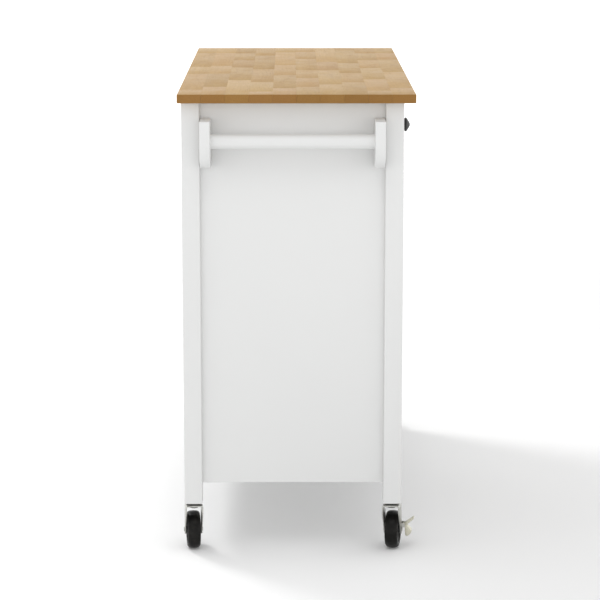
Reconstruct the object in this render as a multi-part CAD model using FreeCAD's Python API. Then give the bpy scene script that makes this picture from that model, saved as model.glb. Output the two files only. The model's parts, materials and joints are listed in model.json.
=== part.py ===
"""Rolling kitchen cart with a butcher block top: two drawers, an open bay with an adjustable shelf,
a cabinet bay behind a panelled door, a towel bar on one end and four swivel casters.

Millimetres.  X runs along the cart, the towel bar is on the -X end, the drawers face -Y and +Z is up.
Every piece is laid out from the middle of the worktop, and save() moves it so that the origin is on the
floor under the middle of the whole envelope, from the towel bar's brackets to the trailing wheels.
"""
import FreeCAD
import Part
import math
import os
from FreeCAD import Vector

# ---- driving dimensions -------------------------------------------------------------------------------
HEIGHT = 914.0            # standard 36 in working height
TOP_LENGTH = 1067.0       # 42 in along the cart
TOP_DEPTH = 457.0         # 18 in front to back
TOP_THICK = 17.0
TOP_EASE = 1.5            # rounding of the worktop's edges
OVERHANG = 22.0           # worktop past the legs at the front and at both ends
OVERHANG_BACK = 7.0       # worktop past the back legs
LEG = 35.0                # square leg
LEG_EASE = 1.5            # rounding of the legs' long edges
CASTER_HEIGHT = 100.0     # floor to the bottom of the legs

PANEL_THICK = 15.0        # side panels, cabinet floor and shelves
PANEL_RECESS = 10.0       # side panel's face behind the legs' faces
TONGUE = 8.0              # side panel edges housed in the legs
PANEL_BOTTOM = 142.0      # lower edge of the side panels and bottom rails
RAIL_HEIGHT = 16.0        # top and middle rails
RAIL_DEPTH = 40.0
BOTTOM_RAIL_HEIGHT = 30.0
FRONT_THICK = 18.0        # drawer fronts, door frame, bottom rails
PARTITION = 18.0          # upright board between the two bays
BACK_PANEL = 5.0
BACK_GROOVE = 6.0
DRAWER_OPENING = 116.0    # height of the drawer openings
FRONT_GAP = 2.0           # gap round the drawer fronts and the door
DOWEL_RADIUS = 4.0
DOWEL_LENGTH = 40.0
SNUG = 0.05               # radial clearance of pegs and screws in their holes
TOP_SCREW_RADIUS = 2.5
TOP_SCREW_BITE = 10.0     # length of the worktop screws inside the worktop
TOP_SCREW_HEAD = 5.0      # radius of their heads
TOP_SCREW_SETBACK = 26.0  # front row of screws behind the legs' front faces
TOP_SCREW_X = (-400.0, -140.0, 140.0, 400.0)
SCREW_HEAD_THICK = 2.0

SIDE_THICK = 12.0         # drawer sides and back
DRAWER_LENGTH = 370.0
DRAWER_SIDE_HEIGHT = 90.0
DRAWER_SIDE_RISE = 11.0   # drawer side's lower edge above the middle rail
DRAWER_BOTTOM = 5.0
DRAWER_BOTTOM_RISE = 8.0  # bottom board above the sides' lower edges
DRAWER_GROOVE = 6.0       # bottom board's edges housed in the sides and back
SLIDE_SPACE = 12.7        # standard room for a side-mounted drawer slide
SLIDE_SHEET = 1.2
SLIDE_HEIGHT = 36.0
SLIDE_LENGTH = 380.0
SLIDE_INNER_LENGTH = 350.0
SLIDE_FLANGE = 9.0        # reach of a slide member's flanges
SLIDE_PLAY = 2.5          # inner member inside the outer one, at top and bottom
SLIDE_SETBACK = 2.0       # slides behind the drawer fronts

DOOR_STILE = 70.0
DOOR_RAIL = 70.0
DOOR_PANEL = 8.0
DOOR_PANEL_BACK = 6.0     # door panel's face behind the door frame's face
DOOR_KNOB_HEIGHT = 690.0
DOOR_KNOB_IN = 38.5       # door knob's centre from the door's free edge
HINGE_HEIGHT = 50.0
HINGE_LEAF = 0.9
HINGE_REACH = 18.0
HINGE_BARREL = 3.0
HINGE_PIN = 1.5
HINGE_INSET = 80.0        # hinge centre from the door's top and bottom
HINGE_KNUCKLE = 15.0      # each of the leg leaf's two knuckles
HINGE_PLAY = 0.3          # between knuckles
HINGE_CAP = 1.2           # thickness of the pin's caps
CATCH_WIDTH = 40.0        # magnetic catch
CATCH_DEPTH = 14.0
CATCH_HEIGHT = 12.0
STRIKE_WIDTH = 30.0
STRIKE_HEIGHT = 10.0
STRIKE_THICK = 1.2

KNOB_RADIUS = 14.5
KNOB_REACH = 25.0
KNOB_FACE = 9.0           # height of the knob's coned face
KNOB_FOOT = 7.5           # radius of the neck at the front it stands on
KNOB_WAIST = (6.5, 8.0)   # radius and reach of the neck's thinnest place
KNOB_FLARE = (10.5, 11.5)
KNOB_TIP = 3.5            # radius of the flat tip
KNOB_SCREW = 2.0
KNOB_SCREW_HEAD = 4.0
KNOB_SCREW_BITE = 10.0

SHELF_HEIGHT = 455.0      # underside of the adjustable shelves
PIN_RADIUS = 2.5
PIN_LENGTH = 16.0
PIN_STEP = 64.0           # spacing of the spare shelf pin holes
PIN_SETBACK = 70.0        # shelf pins from the legs' front and back faces
SHELF_PLAY = 1.0          # shelf ends clear of the walls
SHELF_CLEAR = 4.0         # shelf edges clear of the legs

BRACKET_THICK = 20.0      # towel bar brackets
BRACKET_REACH = 70.0
BRACKET_TOP = 866.0
BRACKET_BOTTOM = 773.0
BRACKET_ROUND = 45.0
BRACKET_GAP = 2.0         # bracket beside the leg
BRACKET_SCREW = 2.2
BRACKET_SCREW_HEAD = 4.2
BRACKET_SCREW_BITE = 16.0
BRACKET_SCREW_INSETS = (18.0, 14.0)    # screws from the bracket's bottom and top
BAR_RADIUS = 14.0
BAR_REACH = 40.0          # bar's centre from the side panel
BAR_HEIGHT = 825.0
BAR_SOCKET = 8.0

WHEEL_RADIUS = 37.5
WHEEL_WIDTH = 26.0
TREAD_ROUND = 8.0
HUB_RADIUS = 24.0
HUB_WEB = 12.0
HUB_RIM = 3.0             # rim's thickness
HUB_INSET = 2.5           # rim's edges inside the tread's width
HUB_BOSS = 8.0
BOSS_PLAY = 0.3           # boss ends clear of the fork's cheeks
FORK_WIDTH = 35.0
FORK_SHEET = 2.5
FORK_DEPTH = 34.0
CROWN_BOTTOM = 93.0
TRAIL = 22.0              # axle behind the swivel axis
FORK_BEND = 2.0           # rounding of the crown's bends
FORK_EYE = 9.5            # radius of the cheeks' round ends at the axle
FORK_FRONT_DROP = 14.0    # straight part of the cheeks' front edges below the crown
FORK_BACK_DROP = 20.0
FORK_BACK_RAKE = 5.0      # cheeks' back corners past the crown
AXLE_RADIUS = 3.0
AXLE_PLAY = 0.02
AXLE_HEAD = 4.5
AXLE_HEAD_THICK = 1.4
STEM_RADIUS = 5.0
STEM_REACH = 38.0         # threaded stem's length inside the leg
STEM_HOLE_SPARE = 4.0
STEM_BELOW = 10.0         # stem's length below the leg
COLLAR_RADIUS = 16.5
COLLAR_THICK = 3.0
RIVET_RADIUS = 9.0        # stem's riveted head under the crown
RIVET_THICK = 2.5
RIVET_GAP = 0.3
RUNNING = 0.06            # radial clearance of the turning fits

BRAKE_OUT = 4.5           # brake's pin outside the fork's cheek
BRAKE_Z = 48.0
BRAKE_WIDTH = 15.0
BRAKE_PIN = 1.6
BRAKE_BARREL = 3.2
BRAKE_EASE = 0.4
LUG_THICK = 2.0
LUG_GAP = 0.3
LUG_HALF = 4.0            # half of a lug's height
LUG_REACH = 3.0           # lug past the pin's centre
UPPER_PADDLE = ((0, 1.8), (-19.5, 16.6), (-21.0, 14.4), (-2.0, -1.0))
LOWER_PADDLE = ((-1.5, 1.0), (-16.0, -11.2), (-13.6, -18.5), (-7.5, -23.0), (-3.2, -22.0), (-2.6, -2.0))

# ---- places worked out from the driving dimensions ----------------------------------------------------
UNDERSIDE = HEIGHT - TOP_THICK
LEG_X = TOP_LENGTH / 2 - OVERHANG                  # outer faces of the legs
FRONT_Y = -(TOP_DEPTH / 2 - OVERHANG)              # front faces of the legs
BACK_Y = TOP_DEPTH / 2 - OVERHANG_BACK             # back faces of the legs
INNER_X = LEG_X - LEG                              # legs' faces that look at each other
PANEL_X = LEG_X - PANEL_RECESS                     # outer face of a side panel
BACK_BOARD_Y = BACK_Y - FRONT_THICK                # inner face of the back bottom rail
DRAWER_TOP = UNDERSIDE - RAIL_HEIGHT
DRAWER_FLOOR = DRAWER_TOP - DRAWER_OPENING
MIDDLE_RAIL = DRAWER_FLOOR - RAIL_HEIGHT
FLOOR_TOP = PANEL_BOTTOM + BOTTOM_RAIL_HEIGHT
HALF_PARTITION = PARTITION / 2
BAY_MIDDLE = (INNER_X + HALF_PARTITION) / 2
WHEEL_END = LEG_X - LEG / 2 + TRAIL + WHEEL_RADIUS           # reach of the trailing wheels
ORIGIN_X = (WHEEL_END - PANEL_X - BRACKET_REACH) / 2         # middle of the envelope
BRAKE_Y = -(FORK_WIDTH / 2 + BRAKE_OUT)

SIDES = {"left": -1, "right": 1}
CASTERS = {                # leg's X side, leg's Y side, angle of the trailing wheel, has a brake
    "front_left": (-1, -1, -10.0, True),
    "front_right": (1, -1, 7.0, True),
    "back_left": (-1, 1, 6.0, False),
    "back_right": (1, 1, -4.0, False),
}


def save(name, shape):
    """Writes one node, moved from the worktop's middle to the envelope's middle."""
    moved = shape.copy()
    moved.translate(Vector(-ORIGIN_X, 0, 0))
    moved.exportStep("parts/%s.step" % name)


def block(x0, x1, y0, y1, z0, z1):
    """Box between two corners, given in either order along X."""
    low = min(x0, x1)
    return Part.makeBox(abs(x1 - x0), y1 - y0, z1 - z0, Vector(low, y0, z0))


def rod(radius, length, start, direction):
    return Part.makeCylinder(radius, length, Vector(*start), Vector(*direction))


def group(solids):
    return Part.makeCompound(solids)


def ease_along(shape, axis, radius, keep=lambda edge: True):
    """Rounds the straight edges that run along one axis."""
    index = "xyz".index(axis)
    chosen = []
    for edge in shape.Edges:
        first, last = edge.Vertexes[0].Point, edge.Vertexes[-1].Point
        step = [abs(last[i] - first[i]) for i in range(3)]
        straight = sum(step) - step[index] < 1e-6 and step[index] > 4 * radius
        if straight and keep(edge):
            chosen.append(edge)
    return shape.makeFillet(radius, chosen)


def board(x0, x1, y0, y1, z0, z1, axis, radius=0.8):
    """Board with its long edges along one axis slightly rounded."""
    return ease_along(block(x0, x1, y0, y1, z0, z1), axis, radius)


# ---- worktop and legs ---------------------------------------------------------------------------------
def worktop():
    half_length, half_depth = TOP_LENGTH / 2, TOP_DEPTH / 2
    top = block(-half_length, half_length, -half_depth, half_depth, UNDERSIDE, HEIGHT)
    for screw_x, screw_y in worktop_screw_places():
        start = (screw_x, screw_y, UNDERSIDE)
        top = top.cut(rod(TOP_SCREW_RADIUS + SNUG, TOP_SCREW_BITE + 2, start, (0, 0, 1)))
    top = ease_along(top, "z", TOP_EASE * 2, lambda edge: edge.BoundBox.ZLength > TOP_THICK - 1)
    return ease_along(top, "x", TOP_EASE)


def leg_middle(side_x, side_y):
    middle_y = BACK_Y - LEG / 2 if side_y > 0 else FRONT_Y + LEG / 2
    return side_x * (LEG_X - LEG / 2), middle_y


def leg(side_x, side_y):
    """Square leg, grooved for its side panel, bored for its caster stem and the rails' dowels."""
    x, y = leg_middle(side_x, side_y)
    post = block(x - LEG / 2, x + LEG / 2, y - LEG / 2, y + LEG / 2, CASTER_HEIGHT, UNDERSIDE)
    post = ease_along(post, "z", LEG_EASE)
    post = post.cut(side_panel_blank(side_x))
    if side_y > 0:
        post = post.cut(back_panel_blank(side_x))
    stem_hole = STEM_REACH + STEM_HOLE_SPARE
    post = post.cut(rod(STEM_RADIUS + SNUG, stem_hole, (x, y, CASTER_HEIGHT), (0, 0, 1)))
    for peg in dowel_rods(DOWEL_RADIUS):
        if peg.BoundBox.intersect(post.BoundBox):
            post = post.cut(peg)
    return post


# ---- side panels and partition ------------------------------------------------------------------------
def side_panel_blank(side):
    y0, y1 = FRONT_Y + LEG - TONGUE, BACK_Y - LEG + TONGUE
    return block(side * PANEL_X, side * (PANEL_X - PANEL_THICK), y0, y1, PANEL_BOTTOM, UNDERSIDE)


def shelf_pin_rods(radius, length, spare):
    """Shelf pins, or with spare the column of holes that lets a shelf be moved."""
    rods = []
    steps = (-1, 0, 1) if spare else (0,)
    for side in SIDES.values():
        for wall_x, inward in ((PANEL_X - PANEL_THICK, -1), (HALF_PARTITION, 1)):
            for y in (FRONT_Y + PIN_SETBACK, BACK_Y - PIN_SETBACK):
                for step in steps:
                    z = SHELF_HEIGHT - PIN_RADIUS + step * PIN_STEP
                    start = (side * (wall_x - inward * PIN_LENGTH / 2), y, z)
                    rods.append(rod(radius, length, start, (side * inward, 0, 0)))
    return rods


def side_panel(side):
    panel = side_panel_blank(side)
    for hole in shelf_pin_rods(PIN_RADIUS + SNUG, PIN_LENGTH, True):
        if hole.BoundBox.intersect(panel.BoundBox):
            panel = panel.cut(hole)
    if side < 0:
        for screw in bracket_screws(SNUG):
            panel = panel.cut(screw)
    return panel


def centre_partition():
    """Upright board between the bays, notched round the rails, its front edge in the front's plane."""
    wall = block(-HALF_PARTITION, HALF_PARTITION, FRONT_Y, BACK_BOARD_Y, FLOOR_TOP, UNDERSIDE)
    for rail in (front_rail_blank(DRAWER_TOP), front_rail_blank(MIDDLE_RAIL), back_top_rail_blank()):
        wall = wall.cut(rail)
    for hole in shelf_pin_rods(PIN_RADIUS + SNUG, PIN_LENGTH / 2, True):
        wall = wall.cut(hole)
    return wall


def cabinet_floor():
    """Floor board behind the bottom rails, cut out round the four legs."""
    inner = PANEL_X - PANEL_THICK
    floor = block(-inner, inner, FRONT_Y + FRONT_THICK, BACK_BOARD_Y, FLOOR_TOP - PANEL_THICK, FLOOR_TOP)
    for side_x in (-1, 1):
        for side_y in (-1, 1):
            x, y = leg_middle(side_x, side_y)
            floor = floor.cut(block(x - LEG / 2, x + LEG / 2, y - LEG / 2, y + LEG / 2, 0, HEIGHT))
    return floor


# ---- rails and back -----------------------------------------------------------------------------------
def front_rail_blank(z):
    return block(-INNER_X, INNER_X, FRONT_Y, FRONT_Y + RAIL_DEPTH, z, z + RAIL_HEIGHT)


def back_top_rail_blank():
    return block(-INNER_X, INNER_X, BACK_Y - RAIL_DEPTH, BACK_Y, DRAWER_TOP, UNDERSIDE)


def bottom_rail_blank(y):
    return block(-INNER_X, INNER_X, y, y + FRONT_THICK, PANEL_BOTTOM, FLOOR_TOP)


def dowel_rods(radius):
    """Dowels that join the ends of the five rails to the legs."""
    places = []
    for z in (DRAWER_TOP + RAIL_HEIGHT / 2, MIDDLE_RAIL + RAIL_HEIGHT / 2):
        places.append((FRONT_Y + LEG / 2, z))
    places.append((FRONT_Y + FRONT_THICK / 2, PANEL_BOTTOM + BOTTOM_RAIL_HEIGHT / 2))
    places.append((BACK_Y - LEG / 2, DRAWER_TOP + RAIL_HEIGHT / 2))
    places.append((BACK_Y - FRONT_THICK / 2, PANEL_BOTTOM + BOTTOM_RAIL_HEIGHT / 2))
    rods = []
    for side in SIDES.values():
        for y, z in places:
            start = (side * (INNER_X - DOWEL_LENGTH / 2), y, z)
            rods.append(rod(radius, DOWEL_LENGTH, start, (side, 0, 0)))
    return rods


def worktop_screw_places():
    places = []
    for x in TOP_SCREW_X:
        places.append((x, FRONT_Y + TOP_SCREW_SETBACK))
        places.append((x, BACK_Y - RAIL_DEPTH / 2))
    return places


def worktop_screws():
    """Round-head screws driven up through the top rails into the worktop."""
    screws = []
    for x, y in worktop_screw_places():
        shank = rod(TOP_SCREW_RADIUS, RAIL_HEIGHT + TOP_SCREW_BITE, (x, y, DRAWER_TOP), (0, 0, 1))
        under = (x, y, DRAWER_TOP - SCREW_HEAD_THICK)
        screws.append(shank.fuse(rod(TOP_SCREW_HEAD, SCREW_HEAD_THICK, under, (0, 0, 1))))
    return group(screws)


def doweled(rail):
    for peg in dowel_rods(DOWEL_RADIUS):
        rail = rail.cut(peg)
    return rail


def screwed(rail):
    for x, y in worktop_screw_places():
        rail = rail.cut(rod(TOP_SCREW_RADIUS + SNUG, RAIL_HEIGHT, (x, y, DRAWER_TOP), (0, 0, 1)))
    return rail


def back_panel_blank(side):
    """Thin back panel of one bay, its edges in the grooves of leg, rails and stile."""
    x0, x1 = side * (LEG / 2 - BACK_GROOVE), side * (INNER_X + BACK_GROOVE)
    y0 = BACK_BOARD_Y + 4
    return block(x0, x1, y0, y0 + BACK_PANEL, FLOOR_TOP - BACK_GROOVE, DRAWER_TOP + BACK_GROOVE)


def grooved(rail):
    for side in SIDES.values():
        rail = rail.cut(back_panel_blank(side))
    return rail


def back_centre_stile():
    """Upright between the back panels, standing on the bottom rail and under the top rail."""
    half = LEG / 2
    stile = block(-half, half, BACK_BOARD_Y, BACK_Y, FLOOR_TOP, DRAWER_TOP)
    return grooved(stile)


def back_panels():
    return group([back_panel_blank(side) for side in SIDES.values()])


# ---- drawers ------------------------------------------------------------------------------------------
def drawer_faces(side):
    """Outer X faces of the drawer's two sides."""
    return side * (HALF_PARTITION + SLIDE_SPACE), side * (INNER_X - SLIDE_SPACE)


def drawer_front(side):
    x0 = side * (HALF_PARTITION + FRONT_GAP)
    x1 = side * (INNER_X - FRONT_GAP)
    z0, z1 = DRAWER_FLOOR + FRONT_GAP, DRAWER_TOP - FRONT_GAP
    front = board(x0, x1, FRONT_Y, FRONT_Y + FRONT_THICK, z0, z1, "x")
    return front.cut(knob_screw(side * BAY_MIDDLE, (z0 + z1) / 2, SNUG))


def drawer_sides(side):
    y0 = FRONT_Y + FRONT_THICK
    z0 = DRAWER_FLOOR + DRAWER_SIDE_RISE
    sides = []
    for face in drawer_faces(side):
        inward = -1 if abs(face) > BAY_MIDDLE else 1
        inner = face + side * inward * SIDE_THICK
        wall = block(face, inner, y0, y0 + DRAWER_LENGTH, z0, z0 + DRAWER_SIDE_HEIGHT)
        sides.append(wall.cut(drawer_bottom_blank(side)))
    return group(sides)


def drawer_inner(side):
    """Inner X faces of the drawer's two sides."""
    near, far = drawer_faces(side)
    return near + side * SIDE_THICK, far - side * SIDE_THICK


def drawer_back(side):
    x0, x1 = drawer_inner(side)
    y1 = FRONT_Y + FRONT_THICK + DRAWER_LENGTH
    z0 = DRAWER_FLOOR + DRAWER_SIDE_RISE
    back = block(x0, x1, y1 - SIDE_THICK, y1, z0, z0 + DRAWER_SIDE_HEIGHT)
    return back.cut(drawer_bottom_blank(side))


def drawer_bottom_blank(side):
    x0, x1 = drawer_inner(side)
    y0 = FRONT_Y + FRONT_THICK
    z0 = DRAWER_FLOOR + DRAWER_SIDE_RISE + DRAWER_BOTTOM_RISE
    x0, x1 = x0 - side * DRAWER_GROOVE, x1 + side * DRAWER_GROOVE
    return block(x0, x1, y0, y0 + DRAWER_LENGTH - DRAWER_GROOVE, z0, z0 + DRAWER_BOTTOM)


def channel(web_x, open_x, height, y0, length, z_middle):
    """C-shaped slide member: a web at web_x with two flanges that reach to open_x."""
    toward = 1 if open_x > web_x else -1
    z0, z1 = z_middle - height / 2, z_middle + height / 2
    bar = block(web_x, open_x, y0, y0 + length, z0, z1)
    hollow = block(web_x + toward * SLIDE_SHEET, open_x, y0, y0 + length, z0 + SLIDE_SHEET, z1 - SLIDE_SHEET)
    return bar.cut(hollow)


SLIDE_Z = DRAWER_FLOOR + DRAWER_SIDE_RISE + DRAWER_SIDE_HEIGHT / 2
SLIDE_Y = FRONT_Y + FRONT_THICK + SLIDE_SETBACK


def slide_cabinet_members():
    """The four fixed slide members, on the legs and on the partition."""
    members = []
    for side in SIDES.values():
        for wall, toward in ((HALF_PARTITION, 1), (INNER_X, -1)):
            web, mouth = side * wall, side * (wall + toward * SLIDE_FLANGE)
            members.append(channel(web, mouth, SLIDE_HEIGHT, SLIDE_Y, SLIDE_LENGTH, SLIDE_Z))
    return group(members)


def slide_drawer_members(side):
    """The two slide members that are screwed to the drawer's sides."""
    members = []
    for face in drawer_faces(side):
        outward = 1 if abs(face) > BAY_MIDDLE else -1
        mouth = face + side * outward * SLIDE_FLANGE
        height = SLIDE_HEIGHT - 2 * SLIDE_SHEET - 2 * SLIDE_PLAY
        members.append(channel(face, mouth, height, SLIDE_Y, SLIDE_INNER_LENGTH, SLIDE_Z))
    return group(members)


def knob_screw(x, z, extra=0.0):
    """Machine screw through a front from behind into the knob."""
    back = FRONT_Y + FRONT_THICK
    shank = rod(KNOB_SCREW + extra, FRONT_THICK + KNOB_SCREW_BITE, (x, back, z), (0, -1, 0))
    if extra:
        return shank
    return shank.fuse(rod(KNOB_SCREW_HEAD, SCREW_HEAD_THICK, (x, back + SCREW_HEAD_THICK, z), (0, -1, 0)))


def knob(x, z):
    """Turned knob with a coned face, and its screw."""
    points = [(0, 0), (KNOB_FOOT, 0), KNOB_WAIST, KNOB_FLARE, (KNOB_RADIUS, KNOB_REACH - KNOB_FACE)]
    points += [(KNOB_TIP, KNOB_REACH - 0.6), (0, KNOB_REACH)]
    outline = Part.makePolygon([Vector(x + r, FRONT_Y - reach, z) for r, reach in points + points[:1]])
    turned = Part.Face(outline).revolve(Vector(x, FRONT_Y, z), Vector(0, 1, 0), 360)
    rim = [edge for edge in turned.Edges if abs(edge.BoundBox.XLength - 2 * KNOB_RADIUS) < 0.5]
    turned = turned.makeFillet(0.8, rim[:1])
    screw = knob_screw(x, z)
    return group([turned.cut(knob_screw(x, z, SNUG)), screw])


# ---- door ---------------------------------------------------------------------------------------------
DOOR_X0 = HALF_PARTITION + FRONT_GAP
DOOR_X1 = INNER_X - FRONT_GAP
DOOR_Z0 = FLOOR_TOP + FRONT_GAP
DOOR_Z1 = MIDDLE_RAIL - FRONT_GAP
DOOR_Y1 = FRONT_Y + FRONT_THICK
DOOR_KNOB_X = DOOR_X0 + DOOR_KNOB_IN
HINGE_X = INNER_X - FRONT_GAP / 2
HINGE_Y = FRONT_Y - HINGE_BARREL - 0.2
HINGE_PLACES = (DOOR_Z0 + HINGE_INSET, DOOR_Z1 - HINGE_INSET)


def door_panel_blank():
    y0 = FRONT_Y + DOOR_PANEL_BACK
    x0, x1 = DOOR_X0 + DOOR_STILE - TONGUE, DOOR_X1 - DOOR_STILE + TONGUE
    return block(x0, x1, y0, y0 + DOOR_PANEL, DOOR_Z0 + DOOR_RAIL - TONGUE, DOOR_Z1 - DOOR_RAIL + TONGUE)


def door_stiles():
    hole = knob_screw(DOOR_KNOB_X, DOOR_KNOB_HEIGHT, SNUG)
    stiles = []
    for x0, x1 in ((DOOR_X0, DOOR_X0 + DOOR_STILE), (DOOR_X1 - DOOR_STILE, DOOR_X1)):
        stile = board(x0, x1, FRONT_Y, DOOR_Y1, DOOR_Z0, DOOR_Z1, "z")
        stiles.append(stile.cut(door_panel_blank()).cut(hole))
    return group(stiles)


def door_rails():
    x0, x1 = DOOR_X0 + DOOR_STILE, DOOR_X1 - DOOR_STILE
    rails = []
    for z0 in (DOOR_Z0, DOOR_Z1 - DOOR_RAIL):
        rail = board(x0, x1, FRONT_Y, DOOR_Y1, z0, z0 + DOOR_RAIL, "x")
        rails.append(rail.cut(door_panel_blank()))
    return group(rails)


def hinge_leaf(z, side, levels):
    """Thin leaf in the gap between door and leg, with barrel knuckles at the given levels.

    side is +1 for the leg's leaf and -1 for the door's leaf."""
    near = HINGE_X + side * (FRONT_GAP / 2 - HINGE_LEAF)
    far = HINGE_X + side * FRONT_GAP / 2
    z0 = z - HINGE_HEIGHT / 2
    leaf = block(near, far, FRONT_Y + 0.3, FRONT_Y + HINGE_REACH, z0, z0 + HINGE_HEIGHT)
    for low, high in levels:
        tab = block(near, far, HINGE_Y, FRONT_Y + 1.0, z0 + low, z0 + high)
        knuckle = rod(HINGE_BARREL, high - low, (HINGE_X, HINGE_Y, z0 + low), (0, 0, 1))
        leaf = leaf.fuse(tab).fuse(knuckle)
    return leaf.cut(rod(HINGE_PIN + RUNNING, HINGE_HEIGHT, (HINGE_X, HINGE_Y, z0), (0, 0, 1)))


def hinge_leg_leaves():
    """The leaves screwed to the leg, each with its pin."""
    solids = []
    for z in HINGE_PLACES:
        knuckles = ((0, HINGE_KNUCKLE), (HINGE_HEIGHT - HINGE_KNUCKLE, HINGE_HEIGHT))
        solids.append(hinge_leaf(z, 1, knuckles))
        start = z - HINGE_HEIGHT / 2
        pin = rod(HINGE_PIN, HINGE_HEIGHT, (HINGE_X, HINGE_Y, start), (0, 0, 1))
        for cap_z in (start - HINGE_CAP, start + HINGE_HEIGHT):
            pin = pin.fuse(rod(HINGE_BARREL - 0.4, HINGE_CAP, (HINGE_X, HINGE_Y, cap_z), (0, 0, 1)))
        solids.append(pin)
    return group(solids)


def hinge_door_leaves():
    low = HINGE_KNUCKLE + HINGE_PLAY
    return group([hinge_leaf(z, -1, ((low, HINGE_HEIGHT - low),)) for z in HINGE_PLACES])


def door_catch():
    """Magnetic catch under the middle rail, behind the door's free edge."""
    x, half = DOOR_X0 + DOOR_STILE, CATCH_WIDTH / 2
    y0 = DOOR_Y1 + STRIKE_THICK + 0.3
    return board(x - half, x + half, y0, y0 + CATCH_DEPTH, MIDDLE_RAIL - CATCH_HEIGHT, MIDDLE_RAIL, "x", 1.0)


def door_strike():
    """Steel plate on the back of the door that meets the catch."""
    x, half = DOOR_X0 + DOOR_STILE, STRIKE_WIDTH / 2
    z1 = DOOR_Z1 - 1
    return block(x - half, x + half, DOOR_Y1, DOOR_Y1 + STRIKE_THICK, z1 - STRIKE_HEIGHT, z1)


# ---- shelves ------------------------------------------------------------------------------------------
def shelves():
    """Adjustable shelves, narrow enough to pass between the front and back legs."""
    boards = []
    for side in SIDES.values():
        x0 = side * (HALF_PARTITION + SHELF_PLAY)
        x1 = side * (PANEL_X - PANEL_THICK - SHELF_PLAY)
        y0, y1 = FRONT_Y + LEG + SHELF_CLEAR, BACK_Y - LEG - SHELF_CLEAR
        boards.append(board(x0, x1, y0, y1, SHELF_HEIGHT, SHELF_HEIGHT + PANEL_THICK, "x"))
    return group(boards)


# ---- towel bar ----------------------------------------------------------------------------------------
FRONT_BRACKET = FRONT_Y + LEG + BRACKET_GAP
BACK_BRACKET = BACK_Y - LEG - BRACKET_GAP
BRACKET_FACES = {          # the Y faces of the two brackets, beside the legs
    "front": (FRONT_BRACKET, FRONT_BRACKET + BRACKET_THICK),
    "back": (BACK_BRACKET - BRACKET_THICK, BACK_BRACKET),
}


def towel_bar(extra=0.0):
    """Dowel housed in both brackets, or with extra the room that it needs."""
    y0 = BRACKET_FACES["front"][1] - BAR_SOCKET
    y1 = BRACKET_FACES["back"][0] + BAR_SOCKET
    return rod(BAR_RADIUS + extra, y1 - y0, (-PANEL_X - BAR_REACH, y0, BAR_HEIGHT), (0, 1, 0))


def bracket_screws(extra=0.0):
    """Screws from inside the cabinet through the side panel into the brackets."""
    screws = []
    inner = -(PANEL_X - PANEL_THICK)
    length = PANEL_THICK + BRACKET_SCREW_BITE
    low_inset, high_inset = BRACKET_SCREW_INSETS
    for y0, y1 in BRACKET_FACES.values():
        for z in (BRACKET_BOTTOM + low_inset, BRACKET_TOP - high_inset):
            middle = (y0 + y1) / 2
            screw = rod(BRACKET_SCREW + extra, length, (inner, middle, z), (-1, 0, 0))
            if not extra:
                start = (inner + SCREW_HEAD_THICK, middle, z)
                screw = screw.fuse(rod(BRACKET_SCREW_HEAD, SCREW_HEAD_THICK, start, (-1, 0, 0)))
            screws.append(screw)
    return screws


def towel_bracket(name):
    """Shaped board: straight top and nose, then a quarter round back under to the panel."""
    y0, y1 = BRACKET_FACES[name]
    nose = -PANEL_X - BRACKET_REACH
    round_x, round_z = nose + BRACKET_ROUND, BRACKET_BOTTOM + BRACKET_ROUND
    lean = BRACKET_ROUND * math.sqrt(0.5)
    top_back = Vector(-PANEL_X, y0, BRACKET_TOP)
    top_nose = Vector(nose, y0, BRACKET_TOP)
    round_top = Vector(nose, y0, round_z)
    round_middle = Vector(round_x - lean, y0, round_z - lean)
    round_foot = Vector(round_x, y0, BRACKET_BOTTOM)
    foot = Vector(-PANEL_X, y0, BRACKET_BOTTOM)
    curve = Part.Arc(round_top, round_middle, round_foot).toShape()
    edges = [Part.makeLine(top_back, top_nose), Part.makeLine(top_nose, round_top), curve]
    edges += [Part.makeLine(round_foot, foot), Part.makeLine(foot, top_back)]
    plate = Part.Face(Part.Wire(edges)).extrude(Vector(0, y1 - y0, 0))
    plate = ease_along(plate, "z", 1.5, lambda edge: edge.BoundBox.XMin < nose + 1)
    plate = ease_along(plate, "x", 1.0, lambda edge: edge.BoundBox.ZMin > BRACKET_TOP - 1)
    plate = plate.cut(towel_bar(SNUG))
    for screw in bracket_screws(SNUG):
        plate = plate.cut(screw)
    return plate


# ---- casters ------------------------------------------------------------------------------------------
# A caster is drawn with its swivel axis on the Z axis and its wheel trailing toward +X, then turned
# and moved under its leg.
def placed(shape, corner):
    side_x, side_y, angle, _ = CASTERS[corner]
    x, y = leg_middle(side_x, side_y)
    shape = shape.copy()
    shape.rotate(Vector(0, 0, 0), Vector(0, 0, 1), angle)
    shape.translate(Vector(x, y, 0))
    return shape


def caster_stem():
    """Threaded stem with its collar under the leg and its riveted head under the fork."""
    stem = rod(STEM_RADIUS, STEM_REACH + STEM_BELOW, (0, 0, CASTER_HEIGHT - STEM_BELOW), (0, 0, 1))
    collar = rod(COLLAR_RADIUS, COLLAR_THICK, (0, 0, CASTER_HEIGHT - COLLAR_THICK), (0, 0, 1))
    head_z = CROWN_BOTTOM - RIVET_GAP - RIVET_THICK
    return stem.fuse(collar).fuse(rod(RIVET_RADIUS, RIVET_THICK, (0, 0, head_z), (0, 0, 1)))


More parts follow.
